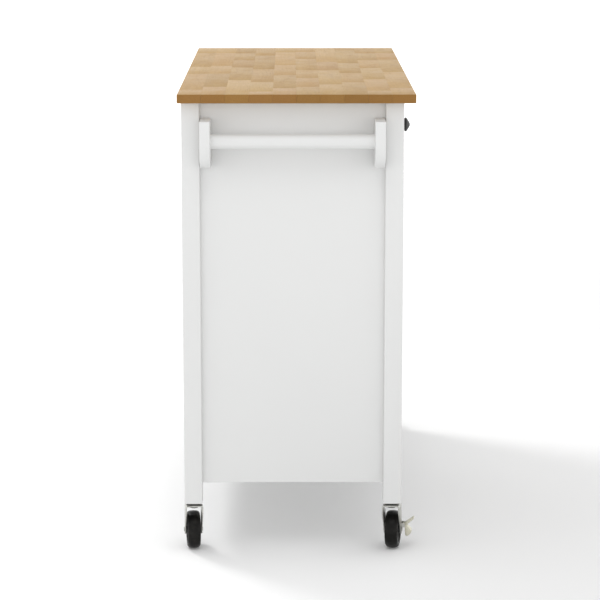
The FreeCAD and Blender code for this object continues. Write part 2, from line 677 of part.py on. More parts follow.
def fork_cheek(y0):
    """One side plate of the fork: wide at the crown, raked back and narrowed to the axle."""
    half = FORK_DEPTH / 2
    crown_top = CROWN_BOTTOM + FORK_SHEET
    front_top = Vector(-half, y0, crown_top)
    front_drop = Vector(-half, y0, CROWN_BOTTOM - FORK_FRONT_DROP)
    front_eye = Vector(TRAIL - FORK_EYE, y0, WHEEL_RADIUS)
    eye_foot = Vector(TRAIL, y0, WHEEL_RADIUS - FORK_EYE)
    back_eye = Vector(TRAIL + FORK_EYE, y0, WHEEL_RADIUS)
    back_drop = Vector(half + FORK_BACK_RAKE, y0, CROWN_BOTTOM - FORK_BACK_DROP)
    back_top = Vector(half, y0, crown_top)
    edges = [Part.makeLine(front_top, front_drop), Part.makeLine(front_drop, front_eye)]
    edges.append(Part.Arc(front_eye, eye_foot, back_eye).toShape())
    edges += [Part.makeLine(back_eye, back_drop), Part.makeLine(back_drop, back_top)]
    edges.append(Part.makeLine(back_top, front_top))
    return Part.Face(Part.Wire(edges)).extrude(Vector(0, FORK_SHEET, 0))


def caster_fork(brake):
    """Pressed fork, its riveted axle and, on a braked caster, the brake's lugs and pin."""
    half, inside = FORK_WIDTH / 2, FORK_WIDTH / 2 - FORK_SHEET
    crown_top = CROWN_BOTTOM + FORK_SHEET
    crown = block(-FORK_DEPTH / 2, FORK_DEPTH / 2, -half, half, CROWN_BOTTOM, crown_top)
    fork = crown.fuse(fork_cheek(-half)).fuse(fork_cheek(inside)).removeSplitter()
    fork = ease_along(fork, "x", FORK_BEND, lambda edge: edge.BoundBox.ZMin > crown_top - 0.1)
    fork = fork.cut(rod(STEM_RADIUS + RUNNING, CROWN_BOTTOM, (0, 0, WHEEL_RADIUS), (0, 0, 1)))
    fork = fork.cut(rod(AXLE_RADIUS + AXLE_PLAY, FORK_WIDTH, (TRAIL, -half, WHEEL_RADIUS), (0, 1, 0)))
    axle = rod(AXLE_RADIUS, FORK_WIDTH + 2, (TRAIL, -half - 1, WHEEL_RADIUS), (0, 1, 0))
    for y0 in (-half - AXLE_HEAD_THICK - 0.1, half + 0.1):
        axle = axle.fuse(rod(AXLE_HEAD, AXLE_HEAD_THICK, (TRAIL, y0, WHEEL_RADIUS), (0, 1, 0)))
    solids = [fork, axle]
    if brake:
        lugs = brake_lugs()
        solids[0] = fork.fuse(lugs[0]).fuse(lugs[1])
        pin = rod(BRAKE_PIN, BRAKE_WIDTH + 6, (TRAIL - BRAKE_WIDTH / 2 - 3, BRAKE_Y, BRAKE_Z), (1, 0, 0))
        solids.append(pin)
    return group(solids)


def caster_hub():
    """Moulded wheel centre: rim, thin web and a boss that fills the fork."""
    y_rim = WHEEL_WIDTH / 2 - HUB_INSET
    boss = FORK_WIDTH / 2 - FORK_SHEET - BOSS_PLAY
    rim = rod(HUB_RADIUS, 2 * y_rim, (TRAIL, -y_rim, WHEEL_RADIUS), (0, 1, 0))
    for y0 in (-y_rim, HUB_WEB / 2):
        depth = y_rim - HUB_WEB / 2
        rim = rim.cut(rod(HUB_RADIUS - HUB_RIM, depth, (TRAIL, y0, WHEEL_RADIUS), (0, 1, 0)))
    hub = rim.fuse(rod(HUB_BOSS, 2 * boss, (TRAIL, -boss, WHEEL_RADIUS), (0, 1, 0)))
    return hub.cut(rod(AXLE_RADIUS + RUNNING, 2 * boss, (TRAIL, -boss, WHEEL_RADIUS), (0, 1, 0)))


def caster_tyre():
    """Ring with a rounded tread."""
    half = WHEEL_WIDTH / 2
    ring = rod(WHEEL_RADIUS, 2 * half, (TRAIL, -half, WHEEL_RADIUS), (0, 1, 0))
    rims = [edge for edge in ring.Edges if edge.Closed and edge.Length > WHEEL_RADIUS * 6]
    ring = ring.makeFillet(TREAD_ROUND, rims)
    return ring.cut(rod(HUB_RADIUS, 2 * half, (TRAIL, -half, WHEEL_RADIUS), (0, 1, 0)))


def brake_lugs():
    """Two small ears on the fork's outer cheek that hold the brake's pin."""
    lugs = []
    out = BRAKE_WIDTH / 2 + LUG_GAP
    y0, y1 = BRAKE_Y - LUG_REACH, -FORK_WIDTH / 2 + 1
    for x0 in (TRAIL - out - LUG_THICK, TRAIL + out):
        ear = block(x0, x0 + LUG_THICK, y0, y1, BRAKE_Z - LUG_HALF, BRAKE_Z + LUG_HALF)
        lugs.append(ear.cut(rod(BRAKE_PIN + AXLE_PLAY, LUG_THICK, (x0, BRAKE_Y, BRAKE_Z), (1, 0, 0))))
    return lugs


def caster_brake():
    """Toggle on the side of the fork: a flat upper paddle and a heavier lower paddle, in a V."""
    x0 = TRAIL - BRAKE_WIDTH / 2
    lever = rod(BRAKE_BARREL, BRAKE_WIDTH, (x0, BRAKE_Y, BRAKE_Z), (1, 0, 0))
    for outline in (UPPER_PADDLE, LOWER_PADDLE):
        points = [Vector(x0, BRAKE_Y + y, BRAKE_Z + z) for y, z in outline + outline[:1]]
        paddle = Part.Face(Part.makePolygon(points)).extrude(Vector(BRAKE_WIDTH, 0, 0))
        lever = lever.fuse(ease_along(paddle, "x", BRAKE_EASE))
    return lever.cut(rod(BRAKE_PIN + RUNNING, BRAKE_WIDTH, (x0, BRAKE_Y, BRAKE_Z), (1, 0, 0)))


# ---- the whole cart -----------------------------------------------------------------------------------
def main():
    os.makedirs("parts", exist_ok=True)
    save("worktop", worktop())
    for corner, (side_x, side_y, _, brake) in CASTERS.items():
        save("leg_" + corner, leg(side_x, side_y))
        save("caster_%s_fork" % corner, placed(caster_fork(brake), corner))
        save("caster_%s_hub" % corner, placed(caster_hub(), corner))
        save("caster_%s_tyre" % corner, placed(caster_tyre(), corner))
        if brake:
            save("caster_%s_brake" % corner, placed(caster_brake(), corner))
    save("caster_stems", group([placed(caster_stem(), corner) for corner in CASTERS]))

    for name, side in SIDES.items():
        save("side_panel_" + name, side_panel(side))
        save("drawer_%s_front" % name, drawer_front(side))
        save("drawer_%s_sides" % name, drawer_sides(side))
        save("drawer_%s_back" % name, drawer_back(side))
        save("drawer_%s_bottom" % name, drawer_bottom_blank(side))
        save("drawer_%s_slides" % name, slide_drawer_members(side))
        save("drawer_%s_knob" % name, knob(side * BAY_MIDDLE, DRAWER_FLOOR + DRAWER_OPENING / 2))
    save("drawer_slide_cabinet_members", slide_cabinet_members())

    save("centre_partition", centre_partition())
    save("cabinet_floor", cabinet_floor())
    save("front_top_rail", screwed(doweled(front_rail_blank(DRAWER_TOP))))
    save("front_middle_rail", doweled(front_rail_blank(MIDDLE_RAIL)))
    save("front_bottom_rail", doweled(bottom_rail_blank(FRONT_Y)))
    save("back_top_rail", grooved(screwed(doweled(back_top_rail_blank()))))
    save("back_bottom_rail", grooved(doweled(bottom_rail_blank(BACK_BOARD_Y))))
    save("back_centre_stile", back_centre_stile())
    save("back_panels", back_panels())
    save("frame_dowels", group(dowel_rods(DOWEL_RADIUS - SNUG)))
    save("worktop_screws", worktop_screws())

    save("shelves", shelves())
    save("shelf_pins", group(shelf_pin_rods(PIN_RADIUS, PIN_LENGTH, False)))

    save("door_stiles", door_stiles())
    save("door_rails", door_rails())
    save("door_panel", door_panel_blank())
    save("door_knob", knob(DOOR_KNOB_X, DOOR_KNOB_HEIGHT))
    save("door_hinge_leg_leaves", hinge_leg_leaves())
    save("door_hinge_door_leaves", hinge_door_leaves())
    save("door_catch", door_catch())
    save("door_strike", door_strike())

    save("towel_bar", towel_bar())
    for name in BRACKET_FACES:
        save("towel_bracket_" + name, towel_bracket(name))
    save("towel_bracket_screws", group(bracket_screws()))


main()
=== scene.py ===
"""Looks of a rolling kitchen cart with a butcher block top.

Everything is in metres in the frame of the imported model: X runs along the cart with the towel bar on the -X
end, the drawers face -Y, +Z is up and the floor is at zero.  A piece is a surface worked out on a grid of two
parameters, or a section carried along a line, and it takes its place from the frame.
"""
import json
import math
import bmesh
import bpy
import numpy as np
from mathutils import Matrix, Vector


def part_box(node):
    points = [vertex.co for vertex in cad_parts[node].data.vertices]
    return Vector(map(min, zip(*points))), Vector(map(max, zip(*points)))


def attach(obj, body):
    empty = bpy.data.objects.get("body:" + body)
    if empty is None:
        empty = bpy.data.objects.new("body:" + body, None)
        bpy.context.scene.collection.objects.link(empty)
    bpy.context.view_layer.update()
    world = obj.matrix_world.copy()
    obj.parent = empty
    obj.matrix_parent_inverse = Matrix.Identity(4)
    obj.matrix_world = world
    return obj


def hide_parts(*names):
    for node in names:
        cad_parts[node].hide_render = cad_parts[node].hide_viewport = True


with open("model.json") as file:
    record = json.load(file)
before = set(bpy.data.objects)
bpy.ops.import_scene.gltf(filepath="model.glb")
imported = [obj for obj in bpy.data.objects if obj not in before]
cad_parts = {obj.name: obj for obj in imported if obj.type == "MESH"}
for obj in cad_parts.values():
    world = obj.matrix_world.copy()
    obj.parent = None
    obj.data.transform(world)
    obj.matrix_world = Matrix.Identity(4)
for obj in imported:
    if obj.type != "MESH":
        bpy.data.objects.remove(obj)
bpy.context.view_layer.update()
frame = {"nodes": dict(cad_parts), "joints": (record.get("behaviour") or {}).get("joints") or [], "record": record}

MM = 0.001
nodes = frame["nodes"]
joints = {joint["name"]: joint for joint in frame["joints"]}
body_of = {node: body for body, members in frame["record"]["behaviour"]["bodies"].items() for node in members}
slot_of = {row["node"]: row["material_slot"] for row in frame["record"]["subparts"]}
chance = np.random.default_rng(42)


# ---- camera -------------------------------------------------------------------------------------------
CAMERA_PLACE = (-4.848, 0.0115, 1.3615)
CAMERA_YAW = -0.24        # degrees off the cart's long axis
CAMERA_PITCH = 11.065
CAMERA_LENS = 136.6
SENSOR_WIDTH = 36.0


def camera():
    """Long lens in front of the towel bar end, looking slightly down along the cart."""
    data = bpy.data.cameras.new("camera")
    data.lens = CAMERA_LENS
    data.sensor_width = SENSOR_WIDTH
    made = bpy.data.objects.new("camera", data)
    made.location = CAMERA_PLACE
    made.rotation_euler = (math.radians(90 - CAMERA_PITCH), 0, math.radians(-90 + CAMERA_YAW))
    bpy.context.scene.collection.objects.link(made)
    bpy.context.scene.camera = made


camera()


# ---- shader node helpers ------------------------------------------------------------------------------
class Tree:
    """Short way to write a node tree: add() makes a node, and a socket given as an input is linked."""

    def __init__(self, tree):
        self.tree = tree

    def add(self, kind, out=0, settings=None, **inputs):
        node = self.tree.nodes.new("ShaderNode" + kind)
        for name, value in (settings or {}).items():
            setattr(node, name, value)
        for name, value in inputs.items():
            socket = self.socket(node, name)
            if isinstance(value, bpy.types.NodeSocket):
                self.tree.links.new(value, socket)
            else:
                socket.default_value = value
        return node.outputs[out]

    @staticmethod
    def socket(node, name):
        """Input by position as in _0, or by its name with underscores for spaces."""
        if name.startswith("_"):
            return node.inputs[int(name[1:])]
        return node.inputs[name.replace("_", " ")]

    def math(self, operation, first, second=0.0):
        settings = {"operation": operation}
        return self.add("Math", settings=settings, _0=first, _1=second)

    def mix(self, factor, first, second, blend="MIX"):
        settings = {"data_type": "RGBA", "blend_type": blend}
        return self.add("Mix", 2, settings, _0=factor, _6=first, _7=second)

    def spread(self, value, low, high, to_low, to_high):
        """Carries the range low to high over to to_low to to_high and stops at its ends."""
        return self.add("MapRange", _0=value, _1=low, _2=high, _3=to_low, _4=to_high)

    def noise(self, vector, scale, detail=3.0, roughness=0.55, distortion=0.0):
        return self.add("TexNoise", Vector=vector, Scale=scale, Detail=detail,
                        Roughness=roughness, Distortion=distortion)

    def stretch(self, vector, factors):
        settings = {"operation": "MULTIPLY"}
        return self.add("VectorMath", settings=settings, _0=vector, _1=factors)

    def place(self):
        return self.add("TexCoord", 3)


def node_group(name, inputs, outputs, build):
    """Shader node group; build(tree, inputs) returns the output sockets in order."""
    group = bpy.data.node_groups.new(name, "ShaderNodeTree")
    for label, kind, value in inputs:
        socket = group.interface.new_socket(label, in_out="INPUT", socket_type="NodeSocket" + kind)
        socket.default_value = value
    for label, kind in outputs:
        group.interface.new_socket(label, in_out="OUTPUT", socket_type="NodeSocket" + kind)
    entry = group.nodes.new("NodeGroupInput")
    leave = group.nodes.new("NodeGroupOutput")
    made = build(Tree(group), {label: entry.outputs[label] for label, _, _ in inputs})
    for (label, _), socket in zip(outputs, made):
        group.links.new(socket, leave.inputs[label])
    return group


def use(tree, group, **inputs):
    """Places a group in a material and returns its outputs by name."""
    node = tree.tree.nodes.new("ShaderNodeGroup")
    node.node_tree = group
    for name, value in inputs.items():
        socket = node.inputs[name.replace("_", " ")]
        if isinstance(value, bpy.types.NodeSocket):
            tree.tree.links.new(value, socket)
        else:
            socket.default_value = value
    return node.outputs


# ---- shared effects -----------------------------------------------------------------------------------
def build_wear_and_shade(tree, given):
    """Handling marks: broad faint smudges, and dust with painted shade where faces meet, taken from ambient
    occlusion.
    """
    # ambient occlusion darkens the colour toward Dust Color in corners and recesses: painted shade mixed with a
    # blotchy dust
    corner = tree.add("AmbientOcclusion", 1, {"samples": 8, "only_local": False}, Distance=given["Reach"])
    blotch = tree.noise(given["Vector"], 6.0, 4.0)
    hidden = tree.math("SUBTRACT", 1.0, corner)
    dust_and_shade = tree.math("MULTIPLY", tree.math("MULTIPLY", hidden, given["Dust"]), tree.math("ADD", blotch, 0.35))
    smudge = tree.spread(tree.noise(given["Vector"], 23.0, 5.0, 0.65), 0.42, 0.72, 0.0, 1.0)
    dusty_and_shaded = tree.mix(dust_and_shade, given["Color"], given["Dust Color"])
    rough = tree.math("ADD", given["Roughness"], tree.math("MULTIPLY", smudge, given["Smudge"]))
    return dusty_and_shaded, tree.math("ADD", rough, tree.math("MULTIPLY", dust_and_shade, 0.3)), dust_and_shade


# the Dust and Dust Color sockets set the strength and colour of dust mixed with painted corner shade
WEAR_AND_SHADE = node_group(
    "dust_smudges_and_painted_shade",
    [("Vector", "Vector", (0, 0, 0)), ("Color", "Color", (1, 1, 1, 1)),
     ("Dust Color", "Color", (0.5, 0.47, 0.42, 1)), ("Dust", "Float", 0.3), ("Reach", "Float", 0.012),
     ("Roughness", "Float", 0.4), ("Smudge", "Float", 0.06)],
    [("Color", "Color"), ("Roughness", "Float"), ("Dust", "Float")],
    build_wear_and_shade)


def build_peel(tree, given):
    """Height of a sprayed or moulded skin: fine orange peel over a slow ripple."""
    fine = tree.noise(given["Vector"], given["Grain"], 2.0, 0.5)
    slow = tree.noise(given["Vector"], tree.math("MULTIPLY", given["Grain"], 0.11), 2.0)
    height = tree.math("ADD", tree.math("MULTIPLY", fine, 0.6), slow)
    return height, fine


PEEL = node_group(
    "sprayed_skin",
    [("Vector", "Vector", (0, 0, 0)), ("Grain", "Float", 900.0)],
    [("Height", "Float"), ("Grain", "Float")],
    build_peel)


def build_figure(tree, given):
    """Wood figure along X: rings about a line off to one side, drifting with the length, and pores."""
    drift = tree.noise(tree.stretch(given["Vector"], (1.6, 9.0, 9.0)), 1.0, 3.0, 0.5)
    split = tree.tree.nodes.new("ShaderNodeSeparateXYZ")
    tree.tree.links.new(given["Vector"], split.inputs[0])
    across = tree.math("MULTIPLY", split.outputs[1], split.outputs[1])
    up = tree.math("MULTIPLY", split.outputs[2], split.outputs[2])
    radius = tree.math("SQRT", tree.math("ADD", across, up))
    waver = tree.math("MULTIPLY", drift, given["Waver"])
    phase = tree.math("MULTIPLY", tree.math("ADD", radius, waver), given["Rings"])
    ring = tree.math("FRACT", phase)
    late = tree.spread(ring, 0.55, 1.0, 0.0, 1.0)
    fall = tree.spread(ring, 0.0, 0.12, 1.0, 0.0)
    bands = tree.math("MAXIMUM", tree.math("MULTIPLY", late, late), fall)
    fibre = tree.noise(tree.stretch(given["Vector"], (14.0, 420.0, 420.0)), 1.0, 4.0, 0.6)
    figure = tree.math("ADD", tree.math("MULTIPLY", bands, 0.55), tree.math("MULTIPLY", fibre, 0.6))
    streak = tree.noise(tree.stretch(given["Vector"], (38.0, 1500.0, 1500.0)), 1.0, 1.0)
    pores = tree.spread(streak, 0.62, 0.70, 0.0, 1.0)
    height = tree.math("SUBTRACT", tree.math("MULTIPLY", fibre, 0.5), pores)
    return figure, pores, height


FIGURE = node_group(
    "wood_figure",
    [("Vector", "Vector", (0, 0, 0)), ("Rings", "Float", 260.0), ("Waver", "Float", 0.02)],
    [("Figure", "Float"), ("Pores", "Float"), ("Height", "Float")],
    build_figure)


def build_scratch(tree, given):
    """Fine streaks of a rolled or plated sheet, longer along X, with a soft crystal mottle."""
    streak = tree.noise(tree.stretch(given["Vector"], (60.0, 1400.0, 1400.0)), 1.0, 3.0, 0.6)
    mottle = tree.noise(given["Vector"], 190.0, 4.0, 0.6)
    tone = tree.math("ADD", tree.math("MULTIPLY", streak, 0.4), tree.math("MULTIPLY", mottle, 0.6))
    return tone, streak


SCRATCH = node_group(
    "plated_sheet",
    [("Vector", "Vector", (0, 0, 0))],
    [("Tone", "Float"), ("Height", "Float")],
    build_scratch)


# ---- materials ----------------------------------------------------------------------------------------
def material(name):
    """Empty material with a Principled shader: returns it, its tree and the shader."""
    made = bpy.data.materials.new(name)
    made.use_nodes = True
    made.node_tree.nodes.clear()
    tree = Tree(made.node_tree)
    out = made.node_tree.nodes.new("ShaderNodeOutputMaterial")
    shader = made.node_tree.nodes.new("ShaderNodeBsdfPrincipled")
    made.node_tree.links.new(shader.outputs[0], out.inputs[0])
    return made, tree, shader


def feed(tree, shader, **inputs):
    """Links sockets to a shader's inputs, or sets them to values."""
    for name, value in inputs.items():
        socket = shader.inputs[name.replace("_", " ")]
        if isinstance(value, bpy.types.NodeSocket):
            tree.tree.links.new(value, socket)
        else:
            socket.default_value = value


def bump(tree, height, strength, distance):
    """Normal of a surface with a fine relief."""
    return tree.add("Bump", Strength=strength, Distance=distance, Height=height)


def white_paint():
    """Sprayed white satin paint on smooth board: faint drift in the colour, orange peel, dust and painted shade in
    corners.
    """
    made, tree, shader = material("white_paint")
    place = tree.place()
    drift = tree.noise(place, 2.2, 3.0)
    colour = tree.mix(drift, (0.672, 0.676, 0.672, 1), (0.704, 0.706, 0.70, 1))
    # the shared group paints shade into the corners along with a little dust
    worn_and_shaded = use(tree, WEAR_AND_SHADE, Vector=place, Color=colour, Dust=0.10, Reach=0.010, Roughness=0.34, Smudge=0.07)
    peel = use(tree, PEEL, Vector=place, Grain=650.0)
    feed(tree, shader, Base_Color=worn_and_shaded["Color"], Roughness=worn_and_shaded["Roughness"], Specular_IOR_Level=0.45,
         Normal=bump(tree, peel["Height"], 0.12, 0.0004))
    return made


def butcher_block():
    """Oiled hardwood blocks.  Each block's own tone and place come from attributes of the mesh."""
    made, tree, shader = material("butcher_block")
    place = tree.place()
    tone = tree.add("Attribute", 2, {"attribute_name": "block_tone"})
    warmth = tree.add("Attribute", 2, {"attribute_name": "block_warmth"})
    heart = tree.add("Attribute", 1, {"attribute_name": "block_heart"})
    end_face = tree.add("Attribute", 2, {"attribute_name": "end_face"})
    local = tree.add("VectorMath", settings={"operation": "SUBTRACT"}, _0=place, _1=heart)
    figure = use(tree, FIGURE, Vector=local, Rings=310.0, Waver=0.030)
    cloud = tree.noise(tree.stretch(local, (9.0, 26.0, 26.0)), 1.0, 3.0)
    shade = tree.math("ADD", tree.math("MULTIPLY", tone, 0.7), tree.spread(cloud, 0.3, 0.7, 0.0, 0.3))
    pale = tree.mix(shade, (0.354, 0.209, 0.065, 1), (0.504, 0.338, 0.137, 1))
    rosy = tree.mix(tree.math("MULTIPLY", warmth, 0.55), pale, (0.485, 0.290, 0.122, 1))
    deep = tree.mix(0.6, rosy, (0.243, 0.122, 0.030, 1))
    grained = tree.mix(tree.math("MULTIPLY", figure["Figure"], 0.40), rosy, deep)
    pored = tree.mix(tree.math("MULTIPLY", figure["Pores"], 0.40), grained, (0.17, 0.090, 0.030, 1))
    speckle = tree.spread(tree.noise(place, 950.0, 2.0), 0.4, 0.7, 0.0, 1.0)
    ends = tree.mix(1.0, pored, tree.mix(speckle, (0.67, 0.545, 0.35, 1), (0.50, 0.39, 0.235, 1)), "MULTIPLY")
    colour = tree.mix(end_face, pored, ends)
    # painted shade: ambient occlusion darkens the corners and joints toward dark brown, mixed with a little dust
    worn_and_shaded = use(tree, WEAR_AND_SHADE, Vector=place, Color=colour, Dust=0.10, Dust_Color=(0.26, 0.16, 0.08, 1),
               Reach=0.004, Roughness=0.46, Smudge=0.10)
    feed(tree, shader, Base_Color=worn_and_shaded["Color"], Roughness=worn_and_shaded["Roughness"], Specular_IOR_Level=0.22,
         Normal=bump(tree, figure["Height"], 0.25, 0.0004))
    return made


def plain_wood(name, pale, deep, rings, roughness):
    """Clear-finished timber or board with its grain along X."""
    made, tree, shader = material(name)
    place = tree.place()
    figure = use(tree, FIGURE, Vector=place, Rings=rings, Waver=0.045)
    broad = tree.noise(tree.stretch(place, (2.0, 14.0, 14.0)), 1.0, 3.0)
    base = tree.mix(broad, pale, deep)
    colour = tree.mix(tree.math("MULTIPLY", figure["Figure"], 0.38), base, deep)
    # painted shade: ambient occlusion darkens the corners, mixed with dust
    worn_and_shaded = use(tree, WEAR_AND_SHADE, Vector=place, Color=colour, Dust=0.2, Reach=0.008, Roughness=roughness)
    feed(tree, shader, Base_Color=worn_and_shaded["Color"], Roughness=worn_and_shaded["Roughness"],
         Normal=bump(tree, figure["Height"], 0.2, 0.0004))
    return made


def plated_steel(name, dark, bright, roughness, dust_and_shade):
    """Plated or blackened sheet steel: mottled tone, fine streaks, grime and painted shade in the corners."""
    made, tree, shader = material(name)
    place = tree.place()
    sheet = use(tree, SCRATCH, Vector=place)
    tone = tree.spread(sheet["Tone"], 0.35, 0.65, 0.0, 1.0)
    colour = tree.mix(tone, dark, bright)
    # painted shade: ambient occlusion darkens the corners toward the grime colour and dulls the metal there, mixed
    # with real grime
    worn_and_shaded = use(tree, WEAR_AND_SHADE, Vector=place, Color=colour, Dust_Color=(0.16, 0.14, 0.11, 1), Dust=dust_and_shade,
               Reach=0.005, Roughness=roughness, Smudge=0.12)
    metal = tree.math("SUBTRACT", 1.0, tree.math("MULTIPLY", worn_and_shaded["Dust"], 0.6))
    feed(tree, shader, Base_Color=worn_and_shaded["Color"], Roughness=worn_and_shaded["Roughness"], Metallic=metal,
         Normal=bump(tree, sheet["Height"], 0.15, 0.0002))
    return made


def moulded(name, dark, bright, roughness, grain, depth, specular=0.5):
    """Moulded plastic, rubber or powder coat: a skin of fine grain with dull scuffs, dust and painted shade in
    corners.
    """
    made, tree, shader = material(name)
    place = tree.place()
    peel = use(tree, PEEL, Vector=place, Grain=grain)
    scuff = tree.spread(tree.noise(place, 85.0, 5.0, 0.7), 0.45, 0.75, 0.0, 1.0)
    colour = tree.mix(scuff, dark, bright)
    # painted shade: ambient occlusion darkens the corners, mixed with dust
    worn_and_shaded = use(tree, WEAR_AND_SHADE, Vector=place, Color=colour, Dust=0.25, Dust_Color=(0.20, 0.19, 0.17, 1),
               Reach=0.006, Roughness=roughness, Smudge=0.15)
    feed(tree, shader, Base_Color=worn_and_shaded["Color"], Roughness=worn_and_shaded["Roughness"], Specular_IOR_Level=specular,
         Normal=bump(tree, peel["Height"], depth, 0.0005))
    return made


finishes = {
    "butcher_block": butcher_block(),
    "white_paint": white_paint(),
    "drawer_board": plain_wood("drawer_board", (0.66, 0.52, 0.34, 1), (0.52, 0.37, 0.21, 1), 240.0, 0.45),
    "dowel_wood": plain_wood("dowel_wood", (0.60, 0.43, 0.25, 1), (0.45, 0.29, 0.15, 1), 300.0, 0.6),
    "zinc_steel": plated_steel("zinc_steel", (0.40, 0.40, 0.37, 1), (0.62, 0.62, 0.59, 1), 0.36, 0.5),
    "brake_steel": plated_steel("brake_steel", (0.50, 0.48, 0.38, 1), (0.70, 0.68, 0.57, 1), 0.38, 0.4),
    "dark_steel": plated_steel("dark_steel", (0.035, 0.035, 0.033, 1), (0.08, 0.08, 0.075, 1), 0.42, 0.4),
    "black_knob": moulded("black_knob", (0.010, 0.010, 0.010, 1), (0.024, 0.023, 0.022, 1),
                          0.34, 1500.0, 0.12),
    "catch_plastic": moulded("catch_plastic", (0.66, 0.66, 0.63, 1), (0.76, 0.76, 0.73, 1),
                             0.45, 1200.0, 0.15),
    "hub_plastic": moulded("hub_plastic", (0.016, 0.016, 0.016, 1), (0.040, 0.039, 0.037, 1),
                           0.44, 1300.0, 0.2),
    "tyre": moulded("tyre", (0.007, 0.0068, 0.0062, 1), (0.018, 0.017, 0.015, 1), 0.30, 900.0, 0.12, 0.12),
}
for node_name, node in nodes.items():
    node.data.materials.clear()
    node.data.materials.append(finishes[slot_of[node_name]])


# ---- shapes: arrays of points and lists of faces ------------------------------------------------------
SHARP_ANGLE = 35.0        # degrees between two faces past which their edge stays crisp


def skin(points, wrap=True, caps=True):
    """Faces over a grid of points.  wrap joins the last column to the first, caps close both end rows."""
    rows, columns = points.shape[:2]
    index = np.arange(rows * columns).reshape(rows, columns)
    right = np.roll(index, -1, axis=1)
    if not wrap:
        index_cut, right = index[:, :-1], index[:, 1:]
    else:
        index_cut = index
    quads = np.stack([index_cut[:-1], right[:-1], right[1:], index_cut[1:]], axis=-1).reshape(-1, 4)
    faces = [tuple(face) for face in quads.tolist()]
    if caps:
        faces.append(tuple(index[0, ::-1].tolist()))
        faces.append(tuple(index[-1].tolist()))
    return points.reshape(-1, 3), faces


def join(*shapes):
    """Several shapes as one set of points and faces."""
    points, faces, start = [], [], 0
    for shape_points, shape_faces in shapes:
        points.append(shape_points)
        faces += [tuple(corner + start for corner in face) for face in shape_faces]
        start += len(shape_points)
    return np.concatenate(points), faces


def rounded_box(low, high, radius, steps=3):
    """Box with rounded edges: the box drawn in by the radius on every side, with each corner's point carried
    out by the radius in the direction (sin a cos b, sin a sin b, cos a), a from pole to pole and b round the
    box."""
    low, high = np.array(low, float), np.array(high, float)
    radius = min(radius, (high - low).min() / 2 * 0.98)
    centre, half = (low + high) / 2, (high - low) / 2 - radius
    quarter = np.linspace(0, math.pi / 2, steps + 1)
    around = np.concatenate([quarter + corner * math.pi / 2 for corner in range(4)])
    side_x = np.repeat([1, -1, -1, 1], steps + 1) * half[0]
    side_y = np.repeat([1, 1, -1, -1], steps + 1) * half[1]
    tilt = np.concatenate([quarter, quarter + math.pi / 2])
    level = np.repeat([1, -1], steps + 1) * half[2]
    x = side_x[None] + radius * np.sin(tilt)[:, None] * np.cos(around)[None]
    y = side_y[None] + radius * np.sin(tilt)[:, None] * np.sin(around)[None]
    z = np.broadcast_to((level + radius * np.cos(tilt))[:, None], x.shape)
    return skin(np.stack([x, y, z], axis=-1) + centre)


def turned(profile, segments=64, closed=False):
    """Surface of revolution about the local Y axis: each profile point (radius, y) is carried round a circle.
    A closed profile is a ring; an open one starts and ends on the axis."""
    profile = np.array(profile, float)
    angle = np.linspace(0, 2 * math.pi, segments, endpoint=False)
    if closed:
        profile = np.concatenate([profile, profile[:1]])
    radius, reach = profile[:, :1], profile[:, 1:]
    points = np.stack([radius * np.cos(angle), np.broadcast_to(reach, (len(profile), segments)),
                       radius * np.sin(angle)], axis=-1)
    return skin(points, caps=False)


def rounded_outline(outline, rounds):
    """Cuts the corners of a closed outline: each round replaces a corner by two points a quarter in."""
    outline = np.array(outline, float)
    for _ in range(rounds):
        after = np.roll(outline, -1, axis=0)
        near, far = outline * 0.75 + after * 0.25, outline * 0.25 + after * 0.75
        outline = np.stack([near, far], axis=1).reshape(-1, 2)
    return outline


def eased_plate(outline, thickness, ease, steps=3):
    """Plate with rounded rims, in local X and Z with its thickness along Y.  The outline is drawn in along
    its mitres by ease (1 - cos t) while the section moves ease (1 - sin t) from either face."""
    outline = np.array(outline, float)
    before, after = outline - np.roll(outline, 1, axis=0), np.roll(outline, -1, axis=0) - outline
    turn = np.sign((before[:, 0] * after[:, 1] - before[:, 1] * after[:, 0]).sum())
    normals = [turn * np.stack([side[:, 1], -side[:, 0]], axis=-1) / np.linalg.norm(side, axis=1)[:, None]
               for side in (before, after)]
    mitre = (normals[0] + normals[1]) / (1 + (normals[0] * normals[1]).sum(1))[:, None]
    swing = np.linspace(0, math.pi / 2, steps + 1)
    inset = ease * (1 - np.sin(swing))
    level = ease * (1 - np.cos(swing))
    inset = np.concatenate([inset, inset[::-1]])
    level = np.concatenate([level, thickness - level[::-1]])
    flat = outline[None] - mitre[None] * inset[:, None, None]
    y = np.broadcast_to(level[:, None], flat.shape[:2])
    return skin(np.stack([flat[..., 0], y, flat[..., 1]], axis=-1))


def smoothed(profile, rounds):
    """Cuts the corners of an open profile: each round replaces a corner by two points a quarter in."""
    profile = np.array(profile, float)
    for _ in range(rounds):
        near = profile[:-1] * 0.75 + profile[1:] * 0.25
        far = profile[:-1] * 0.25 + profile[1:] * 0.75
        middle = np.stack([near, far], axis=1).reshape(-1, 2)
        profile = np.concatenate([profile[:1], middle[1:-1], profile[-1:]])
    return profile


def moved(shape, origin, x_axis=(1, 0, 0), y_axis=(0, 1, 0), z_axis=(0, 0, 1)):
    """Shape in local axes carried to origin + x X + y Y + z Z."""
    points, faces = shape
    axes = np.array([x_axis, y_axis, z_axis], float)
    return points @ axes + np.array(origin, float), faces


